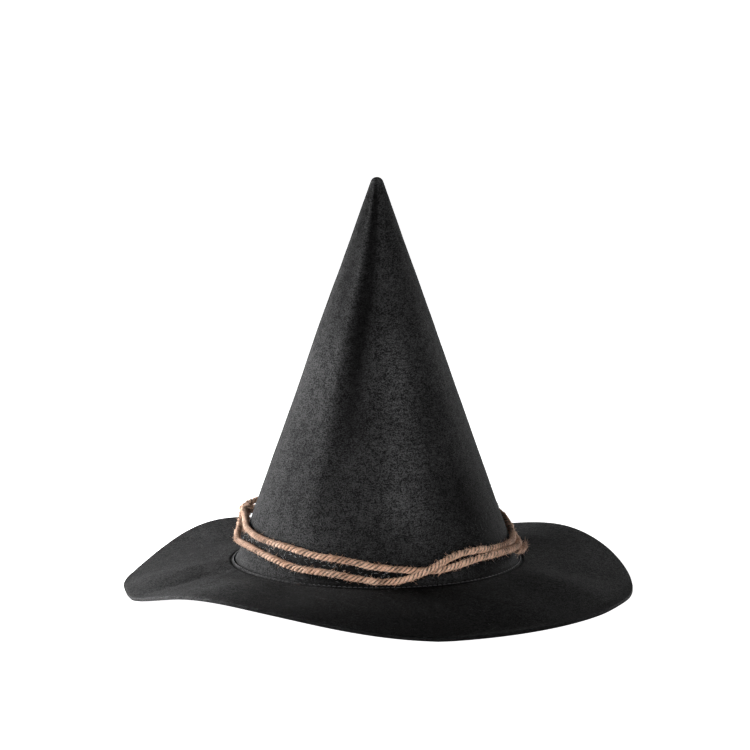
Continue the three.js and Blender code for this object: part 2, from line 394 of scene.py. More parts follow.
def face_up(sheet, towards):
    """Turns the sheet's faces over if most of them look away from towards(point)."""
    sheet.normal_update()
    total = sum(face.normal.dot(towards(face.calc_center_median())) for face in sheet.faces)
    if total < 0:
        bmesh.ops.reverse_faces(sheet, faces=sheet.faces)


def outward(point):
    return Vector((point.x, point.y, 0)).normalized()


def inward(point):
    return -outward(point)


def ribbon_mesh(name, columns, rows, form, span, thickness):
    """A strip made flat with its UV map in metres, shaped by form(along, up), then thickened."""
    strip = bmesh.new()
    strip.loops.layers.uv.new("UVMap")
    bmesh.ops.create_grid(
        strip, x_segments=columns, y_segments=rows, size=0.5,
        matrix=Matrix.Translation((0.5, 0.5, 0)), calc_uvs=True,
    )
    layer = strip.loops.layers.uv.active
    for face in strip.faces:
        for corner in face.loops:
            place = corner.vert.co
            corner[layer].uv = (place.x * span[0], place.y * span[1])
    for vert in strip.verts:
        vert.co = form(vert.co.x, vert.co.y)
    face_up(strip, inward)
    return thickened(name, strip, thickness, min(0.2 * MM, thickness * 0.3), even=True)


def strands_mesh(name, strands, thickness, sides=0):
    """Round strands as one mesh, each a list of points or of (point, share of thickness)."""
    curve = bpy.data.curves.new(name, "CURVE")
    curve.dimensions = "3D"
    curve.bevel_depth = thickness / 2
    curve.bevel_resolution = sides
    curve.use_fill_caps = True
    curve.twist_mode = "MINIMUM"
    for strand in strands:
        spline = curve.splines.new("POLY")
        spline.points.add(len(strand) - 1)
        for point, entry in zip(spline.points, strand):
            place, share = entry if isinstance(entry, tuple) else (entry, 1.0)
            point.co = (*place, 1)
            point.radius = share
    mesh = made_mesh(name, curve)
    closer = bmesh.new()
    closer.from_mesh(mesh)
    bmesh.ops.remove_doubles(closer, verts=closer.verts, dist=1e-7)
    closer.to_mesh(mesh)
    closer.free()
    return mesh


def paint(mesh, name, value):
    """A point attribute from value(point)."""
    layer = mesh.attributes.new(name, "FLOAT", "POINT")
    for item, vert in zip(layer.data, mesh.vertices):
        item.value = value(vert.co)


def stitches(length, place, normal, lift, pitch):
    """Stitches along place(t), t from 0 to a length: each a short arc over the surface."""
    made = []
    share = 0.72  # of the pitch, that a stitch covers
    count = max(1, int(length / pitch))
    for i in range(count):
        start = (i + 0.5 - share / 2) * length / count
        end = (i + 0.5 + share / 2) * length / count
        arc = []
        for k in range(5):
            t = k / 4
            point = place(start + (end - start) * t)
            rise = lift * (math.sin(math.pi * t) - 0.55)
            arc.append((point + normal(point) * rise, 0.7 + 0.3 * math.sin(math.pi * t)))
        made.append(arc)
    return made


def sew(name, rows, thickness, node=None):
    """Adds rows of stitches as a piece of the hat."""
    add_piece(name, strands_mesh(name, rows, thickness, 1), "hat", "thread", node)


# ---------------------------------------------------------------- materials


def add_node(tree, kind, settings=None, **inputs):
    """Adds a shader node. Inputs are values or the sockets that they come from."""
    node = tree.nodes.new("ShaderNode" + kind)
    for name, value in (settings or {}).items():
        setattr(node, name, value)
    for name, value in inputs.items():
        socket = node.inputs[int(name[1:])] if name[0] == "i" and name[1:].isdigit() else (
            node.inputs[name.replace("_", " ")]
        )
        if isinstance(value, bpy.types.NodeSocket):
            tree.links.new(value, socket)
        else:
            socket.default_value = value
    return node


def arithmetic(tree, operation, first, second=0.0, third=0.0):
    node = add_node(tree, "Math", {"operation": operation}, i0=first, i1=second, i2=third)
    return node.outputs[0]


def blend_colour(tree, factor, first, second):
    node = add_node(tree, "Mix", {"data_type": "RGBA"}, i0=factor, i6=first, i7=second)
    return node.outputs[2]


def rgba(colour):
    return (*colour, 1.0)


def noise_value(tree, place, scale, detail=2.0, rough=0.5, distortion=0.0):
    node = add_node(
        tree, "TexNoise", None, Vector=place, Scale=scale, Detail=detail, Roughness=rough,
        Distortion=distortion,
    )
    return node.outputs["Fac"]


def stretch(tree, value, low, high, to_low=0.0, to_high=1.0):
    node = add_node(
        tree, "MapRange", {"clamp": True}, i0=value, i1=low, i2=high, i3=to_low, i4=to_high
    )
    return node.outputs[0]


def weigh(tree, *parts):
    """The sum of some values, each times its weight."""
    total = 0.0
    for value, weight in reversed(parts):
        total = arithmetic(tree, "MULTIPLY_ADD", value, weight, total)
    return total


def scaled(tree, colour, factor):
    node = add_node(tree, "VectorMath", {"operation": "SCALE"}, i0=colour)
    tree.links.new(factor, node.inputs["Scale"])
    return node.outputs[0]


def object_place(tree):
    return add_node(tree, "TexCoord").outputs["Object"]


def flat_place(tree):
    return add_node(tree, "UVMap", {"uv_map": "UVMap"}).outputs[0]


def painted(tree, name):
    return add_node(tree, "Attribute", {"attribute_name": name}).outputs["Fac"]


def bands(tree, place, direction, scale, **more):
    """Soft ridges across one direction."""
    settings = {"wave_type": "BANDS", "bands_direction": direction}
    return add_node(tree, "TexWave", settings, Vector=place, Scale=scale, **more).outputs["Fac"]


def new_finish(name, **shader_values):
    """A material whose Principled shader has its plain values set on its own sockets."""
    finish = bpy.data.materials.new(name)
    finish.use_nodes = True
    tree = finish.node_tree
    tree.nodes.clear()
    shader = add_node(tree, "BsdfPrincipled")
    for socket, value in shader_values.items():
        shader.inputs[socket.replace("_", " ")].default_value = value
    output = add_node(tree, "OutputMaterial")
    tree.links.new(shader.outputs[0], output.inputs["Surface"])
    return finish, tree, shader


def bump(tree, shader, height, strength, distance, under=None):
    node = add_node(tree, "Bump", None, Height=height, Strength=strength, Distance=distance)
    if under is not None:
        tree.links.new(under, node.inputs["Normal"])
    tree.links.new(node.outputs[0], shader.inputs["Normal"])
    return node.outputs[0]


def tint(tree, shader, tone, darker, lighter):
    """Colours the shader from darker to lighter as the tone goes from 0 to 1."""
    colour = blend_colour(tree, tone, rgba(darker), rgba(lighter))
    tree.links.new(colour, shader.inputs["Base Color"])


def roughen(tree, shader, value, low, high):
    rough = stretch(tree, value, 0.3, 0.7, low, high)
    tree.links.new(rough, shader.inputs["Roughness"])


@cache
def lint_finish():
    """Loose wool: black as the felt, but dry and pale in tufts where the twine has rubbed it up."""
    finish, tree, shader = new_finish("loose_wool", Roughness=0.92, Specular_IOR_Level=0.08)
    tufts = stretch(tree, noise_value(tree, object_place(tree), 330, 2, 0.6), 0.4, 0.56, 0.05, 1)
    tone = arithmetic(tree, "MULTIPLY", tufts, painted(tree, "nap_and_painted_light"))
    tint(tree, shader, tone, colours().felt_worn, colours().lint)
    return finish


@cache
def felt_finish():
    """Matted wool: short crossing fibres, clumps and a cloudy tone, paler where it is rubbed."""
    c = colours()
    finish, tree, shader = new_finish(
        "black_felt", Roughness=0.93, Specular_IOR_Level=0.06, Sheen_Weight=0.012,
        Sheen_Roughness=0.42, Sheen_Tint=(0.8, 0.8, 0.82, 1),
    )
    place = object_place(tree)
    turned = add_node(
        tree, "Mapping", None, Vector=place, Scale=(1, 1, 2.1), Rotation=(0, 0.2, 0.3)
    ).outputs[0]
    fibres = noise_value(tree, turned, 760, 3, 0.66, 0.9)
    grain = noise_value(tree, place, 1250, 2, 0.6, 0.3)
    clumps = noise_value(tree, place, 190, 3, 0.6, 0.4)
    clouds = noise_value(tree, place, 21, 2, 0.5)
    mixed = weigh(tree, (clumps, 0.16), (fibres, 0.5), (grain, 0.42))
    tone = stretch(tree, mixed, 0.487, 0.6)
    colour = blend_colour(tree, tone, rgba(c.felt_dark), rgba(c.felt_light))
    # The nap attribute darkens the felt with painted shade and lightens it with painted light, and
    # gives it a random tone.
    nap_and_painted_light_scale = stretch(tree, painted(tree, "nap_and_painted_light"), -1.6, 1.6, 0.2, 1.8)
    cloudy = stretch(tree, clouds, 0.3, 0.7, 0.82, 1.14)
    shaded = scaled(tree, colour, arithmetic(tree, "MULTIPLY", cloudy, nap_and_painted_light_scale))
    worn = arithmetic(tree, "MULTIPLY", painted(tree, "wear"), stretch(tree, fibres, 0.38, 0.62))
    colour = blend_colour(tree, worn, shaded, rgba(c.felt_worn))
    tree.links.new(colour, shader.inputs["Base Color"])
    roughen(tree, shader, fibres, 0.97, 0.84)
    # Packing has pressed fine ripples into the slack felt low on the front.
    ripple = bands(tree, place, "Z", 96.0, Distortion=5.0, Detail=3.0, Detail_Scale=1.6)
    ripple = arithmetic(tree, "MULTIPLY", ripple, painted(tree, "rippled"))
    under = bump(tree, shader, ripple, 0.55, 0.55 * MM)
    bump(tree, shader, mixed, 1.0, 1.1 * MM, under)
    return finish


@cache
def twine_finish():
    """Jute: long twisted fibres in three tones, rough and dry."""
    c = colours()
    finish, tree, shader = new_finish(
        "jute_twine", Roughness=0.78, Specular_IOR_Level=0.22, Sheen_Weight=0.22,
        Sheen_Roughness=0.4, Sheen_Tint=(1.0, 0.86, 0.7, 1),
    )
    # The fibres wind round each ply, so their pattern is read on a turning circle.
    parts = add_node(tree, "SeparateXYZ", None, Vector=flat_place(tree))
    round_ply, along = parts.outputs[0], parts.outputs[1]
    turn = weigh(tree, (along, 260.0), (round_ply, math.tau))
    wound = add_node(
        tree, "CombineXYZ", None,
        X=arithmetic(tree, "MULTIPLY", arithmetic(tree, "COSINE", turn), 2.2),
        Y=arithmetic(tree, "MULTIPLY", arithmetic(tree, "SINE", turn), 2.2),
        Z=arithmetic(tree, "MULTIPLY", along, 95.0),
    ).outputs[0]
    streaks = noise_value(tree, wound, 1.25, 3, 0.7, 0.3)
    strands = noise_value(tree, wound, 0.45, 2, 0.5)
    place = object_place(tree)
    fuzz = noise_value(tree, place, 1300, 2, 0.6)
    patches = noise_value(tree, place, 70, 2, 0.5)
    tone = weigh(tree, (strands, 0.2), (streaks, 0.6), (fuzz, 0.25))
    shifted = arithmetic(tree, "ADD", tone, stretch(tree, patches, 0.3, 0.7, -0.04, 0.04))
    ramp = add_node(tree, "ValToRGB", None, i0=shifted)
    darkest, lightest = ramp.color_ramp.elements
    darkest.position, darkest.color = 0.4, rgba(c.twine_dark)
    lightest.position, lightest.color = 0.62, rgba(c.twine_light)
    ramp.color_ramp.elements.new(0.5).color = rgba(c.twine_middle)
    # Painted shade darkens the hollows between the plies, and painted light by angle brightens the
    # twine's front and darkens its left.
    painted_shade_and_light = stretch(tree, painted(tree, "proud"), 0.66, 0.95, 0.2, 1.1)
    painted_shade_and_light = arithmetic(tree, "MULTIPLY", painted_shade_and_light, painted(tree, "painted_light_by_angle"))
    tree.links.new(scaled(tree, ramp.outputs[0], painted_shade_and_light), shader.inputs["Base Color"])
    bump(tree, shader, tone, 1.0, 0.8 * MM)
    return finish


@cache
def ribbon_finish():
    """Grosgrain: fine ribs across the ribbon, each crossed by its warp threads."""
    finish, tree, shader = new_finish(
        "grosgrain_ribbon", Roughness=0.55, Specular_IOR_Level=0.4, Sheen_Weight=0.12,
        Sheen_Roughness=0.35, Sheen_Tint=(0.7, 0.7, 0.75, 1),
    )
    flat = flat_place(tree)
    ribs = bands(tree, flat, "X", WAVE / (0.95 * MM), Distortion=0.4, Detail=1.0, Detail_Scale=2.0)
    warp = bands(tree, flat, "Y", WAVE / (0.42 * MM), Distortion=0.6)
    lint = noise_value(tree, flat, 420, 3, 0.7)
    base = Vector(colours().ribbon)
    height = weigh(tree, (ribs, 0.8), (warp, 0.2))
    tint(tree, shader, weigh(tree, (height, 0.7), (lint, 0.5)), base * 0.45, base * 1.9)
    roughen(tree, shader, lint, 0.48, 0.68)
    bump(tree, shader, height, 0.8, 0.25 * MM)
    return finish


@cache
def tape_finish():
    """Nylon tape: tight plain weave under the hooks and loops."""
    finish, tree, shader = new_finish(
        "nylon_tape", Roughness=0.5, Specular_IOR_Level=0.5, Sheen_Weight=0.1
    )
    place = object_place(tree)
    weave = noise_value(tree, place, 1900, 2, 0.6)
    patches = noise_value(tree, place, 260, 2, 0.5)
    base = Vector(colours().tape)
    tint(tree, shader, weigh(tree, (weave, 0.7), (patches, 0.4)), base * 0.5, base * 1.8)
    roughen(tree, shader, weave, 0.4, 0.62)
    bump(tree, shader, weave, 0.6, 0.15 * MM)
    return finish


@cache
def thread_finish():
    """Spun polyester thread, with the slant of its twist."""
    finish, tree, shader = new_finish(
        "sewing_thread", Roughness=0.5, Specular_IOR_Level=0.45, Sheen_Weight=0.15
    )
    slant = add_node(
        tree, "Mapping", None, Vector=flat_place(tree), Scale=(1, 4, 1), Rotation=(0, 0, 0.6)
    ).outputs[0]
    twist = bands(tree, slant, "Y", 1.2, Distortion=0.3)
    base = Vector(colours().thread)
    tint(tree, shader, twist, base * 0.6, base * 2.2)
    roughen(tree, shader, noise_value(tree, object_place(tree), 2400, 1, 0.5), 0.4, 0.65)
    bump(tree, shader, twist, 0.5, 0.1 * MM)
    return finish


@cache
def label_finish():
    """Blank satin label: fine warp lines crossed by its weft."""
    finish, tree, shader = new_finish(
        "woven_label", Roughness=0.42, Specular_IOR_Level=0.45, Sheen_Weight=0.2,
        Sheen_Roughness=0.3,
    )
    flat = flat_place(tree)
    lines = bands(tree, flat, "X", WAVE / (0.32 * MM), Distortion=0.8, Detail=1.0)
    weft = bands(tree, flat, "Y", WAVE / (0.45 * MM), Distortion=0.5)
    cloud = noise_value(tree, flat, 160, 2, 0.5)
    base = Vector(colours().label)
    tint(tree, shader, weigh(tree, (lines, 0.45), (cloud, 0.5)), base * 0.8, base * 1.02)
    roughen(tree, shader, cloud, 0.36, 0.5)
    bump(tree, shader, weigh(tree, (weft, 0.4), (lines, 0.6)), 0.5, 0.1 * MM)
    return finish


@cache
def floor_finish():
    """A lit pale table: plain, with the faintest unevenness in its tone."""
    finish, tree, shader = new_finish(
        "pale_floor", Roughness=0.6, Specular_IOR_Level=0.2, Emission_Strength=1.08,
        Emission_Color=(1, 1, 1, 1),
    )
    base = Vector(colours().floor)
    cloud = noise_value(tree, object_place(tree), 3, 1, 0.5)
    tint(tree, shader, cloud, base * 0.985, base)
    return finish


FINISHES = {
    "felt": felt_finish, "ribbon": ribbon_finish, "loop_tape": tape_finish,
    "hook_tape": tape_finish, "label": label_finish, "thread": thread_finish,
    "twine": twine_finish,
}


# ---------------------------------------------------------------- tapes and the twine's routes

LOOPS = 1500
HOOK_COLUMNS, HOOK_ROWS = 22, 11
# A hook's side view, as shares of its height and of its reach.
HOOK_BEND = ((0, 0), (0.35, 0), (0.6, 0.15), (0.62, 0.55), (0.45, 0.8))

KNOT_ANGLE = 166
KNOT_ROW = 5.7
# How far the knot's ends are from its middle, in degrees round the crown.
KNOT_REACH = 5.3

# Points of [angle in degrees, height above the foot, extra distance from the wall], the last two
# in pitches of one twine and its gap.
UPPER_TURN = (
    (KNOT_ANGLE + 2, 5.6, 1.1), (KNOT_ANGLE + KNOT_REACH + 1, 5.4, 0.75),
    (176, 5.25, 0.35), (181, 5.1, 0.1), (190, 4.85, 0), (200, 4.6, 0), (214, 4.32, 0),
    (230, 4.08, 0), (245, 3.5, 0), (258, 3.14, 0), (270, 2.45, 0), (282, 2.05, 0), (292, 1.75, 0),
    (299, 1.85, 0.05), (306, 2.15, 0.1), (314, 2.45, 0.3), (325, 2.45, 0.6), (339, 2.3, 0.75),
    (347, 2.2, 0.7), (353, 2.15, 0.5), (359, 2.3, 0.3), (365, 2.7, 0.1), (371, 3.2, 0),
    (378, 3.75, 0), (386, 4.15, 0), (398, 4.4, 0), (412, 4.6, 0), (426, 4.75, 0), (440, 4.9, 0),
    (454, 5, 0), (468, 5.05, 0), (482, 5.1, 0), (496, 5.15, 0), (509, 5.2, 0.1),
    (360 + KNOT_ANGLE - KNOT_REACH - 1, 5.35, 0.45), (360 + KNOT_ANGLE - 2, 5.5, 0.9),
)
LOWER_TURN = (
    (KNOT_ANGLE + 2.2, 5.3, 1.15), (KNOT_ANGLE + KNOT_REACH - 0.8, 4.35, 0.85),
    (175, 3.65, 0.6), (181, 3.1, 0.5), (187, 2.75, 0.4), (195, 2.8, 0.15), (204, 2.9, 0),
    (212, 2.75, 0), (222, 2.4, 0), (236, 1.75, 0), (251, 1.5, 0), (262, 1.05, 0.05),
    (270, 0.68, 0.1), (278, 0.75, 0.2), (284, 1.1, 0.75), (289, 1.7, 1.15), (294, 2.3, 0.95),
    (299, 2.9, 0.6), (305, 3.35, 0.1), (314, 3.5, 0), (325, 3.25, 0), (339, 3, 0), (350, 2.95, 0),
    (358, 3.3, 0), (364, 3.8, 0), (370, 4.4, 0), (378, 5, 0), (388, 5.35, 0), (400, 5.55, 0),
    (412, 5.7, 0), (426, 5.85, 0), (440, 6, 0), (454, 6.1, 0), (468, 6.15, 0), (482, 6.2, 0),
    (496, 6.25, 0), (509, 6.35, 0.1),
    (360 + KNOT_ANGLE - KNOT_REACH - 1, 6.45, 0.45), (360 + KNOT_ANGLE - 1.6, 6.05, 1.0),
)
RIGHT_TAIL = ((343, 1.75, 0.6), (348, 1.4, 0.75), (353, 1.35, 0.9), (357, 1.45, 1.1))
LEFT_TAIL = (
    (KNOT_ANGLE - KNOT_REACH / 2, 4.05, 0.5), (161, 3.5, 0.45), (159.4, 2.85, 0.45),
    (158.6, 2.25, 0.6),
)


def row_pitch():
    """One twine and its gap."""
    return sizes().twine_diameter + sizes().twine_gap


def route_points(route):
    s = sizes()
    points = []
    for angle, rows, off in route:
        height = rows * row_pitch()
        clear = s.twine_gap + s.twine_diameter / 2 + off * row_pitch()
        radius = crown_radius(height) + clear * math.cos(lean())
        points.append(polar(radius, angle, height + clear * math.sin(lean())))
    return points


def turn_height(route, angle):
    """Height of a turn's middle above the crown's foot, at an angle."""
    angle = (angle - KNOT_ANGLE) % 360 + KNOT_ANGLE
    for (a, low, _), (b, high, _) in zip(route, route[1:]):
        if angle <= b:
            break
    share = min(max((angle - a) / (b - a), 0), 1)
    return (low + (high - low) * share) * row_pitch()


def turn_heights(angle):
    return sorted((turn_height(UPPER_TURN, angle), turn_height(LOWER_TURN, angle)))


def between_turns(angle, height):
    """1 on the felt between the two turns, which they shade and mat, and 0 away from them."""
    low, high = turn_heights(angle)
    return ease(height, low - 5 * MM, low - 2 * MM) * ease(high + 4 * MM - height, 0, 3 * MM)


def under_turns(angle, height):
    """1 on the strip of felt between the lower twine and the brim at the front, and 0 above it."""
    return hump(angle, 256, 27) * ease(turn_heights(angle)[0] + MM - height, 0, 2 * MM)


def smooth_path(points, step):
    """An even centripetal curve through the points, with a point at every step."""
    ends = [2 * points[0] - points[1]] + points + [2 * points[-1] - points[-2]]
    fine = []
    for a, b, c, d in zip(ends, ends[1:], ends[2:], ends[3:]):
        t1 = math.sqrt((b - a).length)
        t2 = t1 + math.sqrt((c - b).length)
        t3 = t2 + math.sqrt((d - c).length)
        for k in range(24):
            t = t1 + (t2 - t1) * k / 24
            ab = a.lerp(b, t / t1)
            bc = b.lerp(c, (t - t1) / (t2 - t1))
            cd = c.lerp(d, (t - t2) / (t3 - t2))
            fine.append(ab.lerp(bc, t / t2).lerp(bc.lerp(cd, (t - t1) / (t3 - t1)),
                                                 (t - t1) / (t2 - t1)))
    fine.append(points[-1])
    lengths = [0.0]
    for a, b in zip(fine, fine[1:]):
        lengths.append(lengths[-1] + (b - a).length)
    count = max(2, round(lengths[-1] / step))
    even, i = [], 0
    for k in range(count + 1):
        at = lengths[-1] * k / count
        while i < len(fine) - 2 and lengths[i + 1] < at:
            i += 1
        gap = lengths[i + 1] - lengths[i]
        even.append(fine[i].lerp(fine[i + 1], (at - lengths[i]) / gap if gap else 0))
    return even, lengths[-1]


def carried_frames(path):
    """A tangent and a side direction at each point, carried along without twist."""
    frames = []
    side = outward(path[0])
    for i in range(len(path)):
        tangent = (path[min(i + 1, len(path) - 1)] - path[max(i - 1, 0)]).normalized()
        side = (side - side.dot(tangent) * tangent).normalized()
        frames.append((tangent, side, tangent.cross(side)))
    return frames


def plies(path, length, diameter, phase=0.0, taper=None):
    """Three plies wound round a path, each a little uneven: lists of (point, radius)."""
    frames = carried_frames(path)
    # Three equal round plies that touch, each packed a little tighter.
    ply_radius = diameter / 2 / (1 + 2 / math.sqrt(3)) * 0.93
    wound = diameter / 2 - ply_radius
    made = []
    for ply in range(3):
        strand = []
        for i, (point, (_, side, up)) in enumerate(zip(path, frames)):
            at = length * i / (len(path) - 1)
            turn = phase + ply * math.tau / 3 - math.tau * at / sizes().twine_lay
            turn += 0.9 * noise.noise(Vector((at * 45, 0.2 * ply, phase)))
            swell = 1.0 + 0.45 * noise.noise(Vector((at * 130, ply * 3.1, phase + 9)))
            swell += 0.4 * noise.noise(Vector((at * 520, ply * 5.3, phase + 2)))
            shrink = taper(at) if taper else 1.0
            offset = (side * math.cos(turn) + up * math.sin(turn)) * wound * shrink
            strand.append((point + offset, ply_radius * swell * shrink))
        made.append(strand)
    return made


def twine_mesh(name, path, length, diameter, phase, taper=None):
    """The three plies as one mesh that knows how far each point stands from the twine's middle."""
    # At a thickness of 2 the share that a ply's point carries is its radius.
    mesh = strands_mesh(name, plies(path, length, diameter, phase, taper), 2.0, 2)
    tree = KDTree(len(path))
    for i, point in enumerate(path):
        tree.insert(point, i)
    tree.balance()
    paint(mesh, "proud", lambda point: min(1, tree.find(point)[2] / (diameter / 2)))
    # Painted light and shade by angle round the crown.
    paint(mesh, "painted_light_by_angle", painted_light_by_angle)
    return mesh


def painted_light_by_angle(point):
    """How bright the twine is painted at its angle: painted light on the front and painted shade on
    the left.
    """
    return 0.9 + 0.5 * hump(angle_of(point), 292, 46) - 0.36 * hump(angle_of(point), 192, 32)


def loose_fibres(paths, count, chance, diameter):
    """Fibres that stand off the twine: they start in a ply and bend away along it."""
    made = []
    framed = [(path, carried_frames(path)) for path in paths]
    weights = [len(path) for path in paths]
    for _ in range(count):
        path, frames = chance.choices(framed, weights)[0]
        i = chance.randrange(1, len(path) - 1)
        tangent, side, up = frames[i]
        angle = chance.uniform(0, math.tau)
        away = side * math.cos(angle) + up * math.sin(angle)
        along = tangent * chance.choice((-1, 1))
        curl = tangent.cross(away) * chance.uniform(-1, 1)
        reach = (chance.uniform(3, 6.5) if chance.random() < 0.14 else chance.uniform(1.2, 3)) * MM
        rise = chance.uniform(0.1, 0.6) * reach
        start = path[i] + away * diameter * 0.43
        strand = []
        for k in range(4):
            t = k / 3
            place = start + along * reach * t * (1 - 0.25 * t) + away * rise * t * t
            place += curl * reach * 0.3 * t * t
            strand.append((place, 1 - 0.55 * t))
        made.append(strand)
    return made


def frayed_end(path, diameter, chance, count):
    """Fibres that spread past the last point of a cut end."""
    tangent, side, up = carried_frames(path)[-1]
    made = []
    for _ in range(count):
        angle = chance.uniform(0, math.tau)
        out = chance.uniform(0, 1) ** 0.6
        away = side * math.cos(angle) + up * math.sin(angle)
        reach = chance.uniform(1.8, 4.6) * MM
        spread = chance.uniform(0.1, 0.8) * reach * out
        start = path[-2] + away * diameter * 0.36 * out
        bend = side * chance.uniform(-1, 1) + up * chance.uniform(-1, 1)
        strand = []
        for k in range(5):
            t = k / 4
            place = start + tangent * reach * t + (away * spread + bend * reach * 0.16) * t * t
            strand.append((place, 1.25 - 0.8 * t))
        made.append(strand)
    return made


# ---------------------------------------------------------------- operators


class HAT_OT_stage(bpy.types.Operator):
    """Lay the pale floor, hang the soft lights and place the camera"""

    bl_idname = "hat.build_stage"
    bl_label = "Build Stage"

    def execute(self, context):
        scene = context.scene
        floor = bmesh.new()
        bmesh.ops.create_circle(floor, cap_ends=True, segments=96, radius=60)
        mesh = mesh_from(floor, "floor")
        mesh.materials.append(floor_finish())
        plane = bpy.data.objects.new("floor", mesh)
        scene.collection.objects.link(plane)

        self.hang("key_light", (-0.62, 0.15, 0.14), 0.3, 14.5)
        self.hang("rim_light", (1.2, 1.3, 0.22), 0.6, 20)
        self.hang("front_light", (-0.8, -2.0, 0.13), 0.7, 37)

        world = bpy.data.worlds.new("studio")
        world.use_nodes = True
        scene.world = world
        tree = world.node_tree
        tree.nodes.clear()
        # The sky is bright along the horizon and dim overhead.
        heading = add_node(tree, "TexCoord").outputs["Generated"]
        up = add_node(tree, "SeparateXYZ", None, Vector=heading).outputs[2]
        strength = stretch(tree, up, 0.03, 0.2, 1.0, 0.03)
        sky = add_node(tree, "Background", None, Color=(1, 1, 1, 1), Strength=strength)
        output = add_node(tree, "OutputWorld")
        tree.links.new(sky.outputs[0], output.inputs["Surface"])
        scene.view_settings.view_transform = "Standard"

        camera = bpy.data.objects.new("camera", bpy.data.cameras.new("camera"))
        scene.collection.objects.link(camera)
        scene.camera = camera
        # It looks slightly down at the middle of the crown from two metres.
        pitch, distance, aim = 8.18 * DEGREE, 2.0, FOOT_Z + 129.2 * MM
        camera.location = (0, -distance * math.cos(pitch), aim + distance * math.sin(pitch))
        camera.rotation_euler = (math.pi / 2 - pitch, 0, 0)
        camera.data.lens = 138.6
        camera.data.sensor_width = 36
        camera.data.shift_x = -0.0025
        camera.data.clip_end = 200
        return {"FINISHED"}

    def hang(self, name, place, size, power):
        """Hang a round area light that faces the hat and isn't seen itself."""
        light = bpy.data.lights.new(name, "AREA")
        light.shape = "DISK"
        light.size = size
        light.energy = power
        lamp = bpy.data.objects.new(name, light)
        bpy.context.scene.collection.objects.link(lamp)
        lamp.location = place
        lamp.visible_camera = False
        aim = Vector((0, 0, 0.12)) - lamp.location
        lamp.rotation_euler = aim.to_track_quat("-Z", "Y").to_euler()


class HAT_OT_crown(bpy.types.Operator):
    """Make the felt cone, with its creases and its flared foot"""

    bl_idname = "hat.build_crown"
    bl_label = "Build Crown"

    def execute(self, context):
        s = sizes()
        cone = turned_sheet(CROWN_ROWS, CROWN_STEPS, crown_point)
        face_up(cone, outward)
        mesh = thickened("felt_crown", cone, s.felt_thickness, 0.3 * MM)

        def placed(point):
            """A point's height above the foot, its share of the crown's height and its angle."""
            height = point.z - FOOT_Z
            return height, height / s.crown_height, angle_of(point)

        def wear(point):
            height, share, angle = placed(point)
            worn = 0.5 * ease(height, s.crown_height - 9 * MM, s.crown_height)
            worn += 0.08 * ease(-height, -5 * MM, -1.6 * MM)
            worn += 0.16 * hump(angle, ridge_angle(share), 3) * ease(height, 0.08, 0.16)
            return min(1, worn)

        def rippled(point):
            _, share, angle = placed(point)
            low = ease(share, 0.1, 0.2) * ease(0.72 - share, 0, 0.22)
            return 0.12 + low * hump(angle, 288, 20)

        def nap_and_painted_light(point):
            # Painted light and shade, with a random tone from the noise.
            height, share, angle = placed(point)
            ridge = ridge_angle(share)
            low = ease(0.72 - share, 0, 0.3) * ease(share, 0.05, 0.2)
            # Painted light on the crease's ridge and painted shade in the valley on its right.
            value = 0.25 * hump(angle, ridge - 3, 6)
            value -= 1.6 * hump(angle, ridge + 15, 11) * ease(share, 0.12, 0.5)
            # Painted light on the low bulge at the front and painted shade in the hollow on its
            # right.
            value += low * (1.75 * hump(angle, 286, 12) - 0.5 * hump(angle, 308, 9))
            # Painted shade towards the tip, high on the front left and low on the front right.
            value -= 0.4 * ease(share, 0.55, 0.95)
            value -= 0.8 * hump(angle, 222, 22) * ease(share, 0.5, 0.75)
            value -= 1.25 * hump(angle, 326, 14) * ease(0.42 - share, 0, 0.25)
            # Painted shade between the twine's turns, under the lower turn at the front and below
            # the crown's foot.
            value -= 1.3 * between_turns(angle, height) + 1.3 * under_turns(angle, height)
            value -= 1.2 * ease(-height, -2.6 * MM, -1.0 * MM)
            return value + 0.4 * noise.noise(Vector((point.x * 22, point.y * 22, point.z * 16)))

        paint(mesh, "wear", wear)
        paint(mesh, "rippled", rippled)
        paint(mesh, "nap_and_painted_light", nap_and_painted_light)
        crown = add_piece("felt_crown", mesh, "hat", "felt", "crown")
        return {"FINISHED"}


